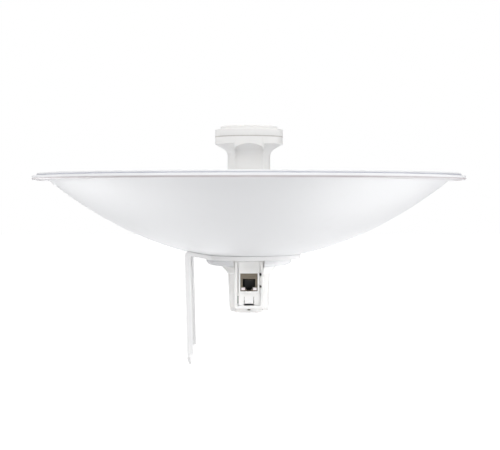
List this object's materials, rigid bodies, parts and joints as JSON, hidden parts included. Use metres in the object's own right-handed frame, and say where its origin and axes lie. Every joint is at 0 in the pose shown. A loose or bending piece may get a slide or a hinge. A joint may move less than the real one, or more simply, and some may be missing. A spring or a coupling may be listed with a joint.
{
  "type": "outdoor wireless bridge",
  "caption": "Outdoor wireless bridge: shallow parabolic dish with a feed tube through its hub, radio housing with a network port behind, and a folded pole bracket.",
  "frame": {"origin": "centre of the dish's aperture rim, halfway up the lip's outer edge", "axes": "+Z is the boresight, out of the dish's mouth; -Y is the side with the network port; the bracket's leg hangs at -X"},
  "size_m": [0.42, 0.42, 0.2341],
  "materials": {
    "dish_paint": "satin powder coat",
    "bracket_paint": "satin powder coat",
    "housing_plastic": "fine spark-eroded texture",
    "frame_plastic": "semi-gloss moulded",
    "seal_rubber": "matt",
    "screw_steel": "stainless",
    "insert_brass": "turned",
    "board_laminate": "solder mask",
    "chip_resin": "moulded resin",
    "can_tin": "tin plate",
    "jack_steel": "nickel plate",
    "jack_plastic": "moulded black",
    "contact_gold": "gold flash",
    "light_guide": "clear, frosted",
    "thermal_pad": "matt",
    "reflector_aluminium": "rolled"
  },
  "bodies": {
    "dish_assembly": {"dish_reflector": "dish_paint", "mounting_bracket": "bracket_paint", "rear_collar": "housing_plastic", "front_ring": "housing_plastic", "ring_seal": "seal_rubber", "collar_screws": "screw_steel", "collar_inserts": "insert_brass"},
    "feed_unit": {"feed_tube": "housing_plastic", "feed_cap": "housing_plastic", "cap_seal": "seal_rubber", "neck_seal": "seal_rubber", "sub_reflector": "reflector_aluminium", "radiator_board": "board_laminate", "reflector_spacers": "frame_plastic", "feed_pins": "contact_gold", "main_board": "board_laminate", "radio_can": "can_tin", "computer_can": "can_tin", "radio_chip": "chip_resin", "processor_chip": "chip_resin", "memory_chip": "chip_resin", "heat_pad": "thermal_pad", "lan_transformer": "chip_resin", "power_inductor": "chip_resin", "capacitors": "can_tin", "reset_switch": "chip_resin", "status_led": "light_guide", "jack_shield": "jack_steel", "jack_body": "jack_plastic", "jack_contacts": "contact_gold", "jack_lights": "light_guide", "rear_housing": "housing_plastic", "port_frame": "frame_plastic", "port_insert": "frame_plastic", "light_pipe": "light_guide", "neck_screws": "screw_steel", "end_cap": "housing_plastic", "end_cap_screws": "screw_steel"},
    "reset_button": {"reset_button": "frame_plastic"},
    "cover_catch": {"cover_catch": "frame_plastic"}
  },
  "joints": [
    {"name": "feed_pull", "type": "slide", "parent": "dish_assembly", "child": "feed_unit", "axis": [0, 0, 1], "range_m": [0, 0.14]},
    {"name": "button_press", "type": "slide", "parent": "feed_unit", "child": "reset_button", "axis": [0, 1, 0], "range_m": [0, 0.0006], "stiffness_N_per_m": 1500},
    {"name": "catch_press", "type": "hinge", "parent": "feed_unit", "child": "cover_catch", "pos_m": [0, -0.0157, -0.11571], "axis": [1, 0, 0], "range_deg": [0, 8], "stiffness_Nm_per_rad": 0.1}
  ]
}
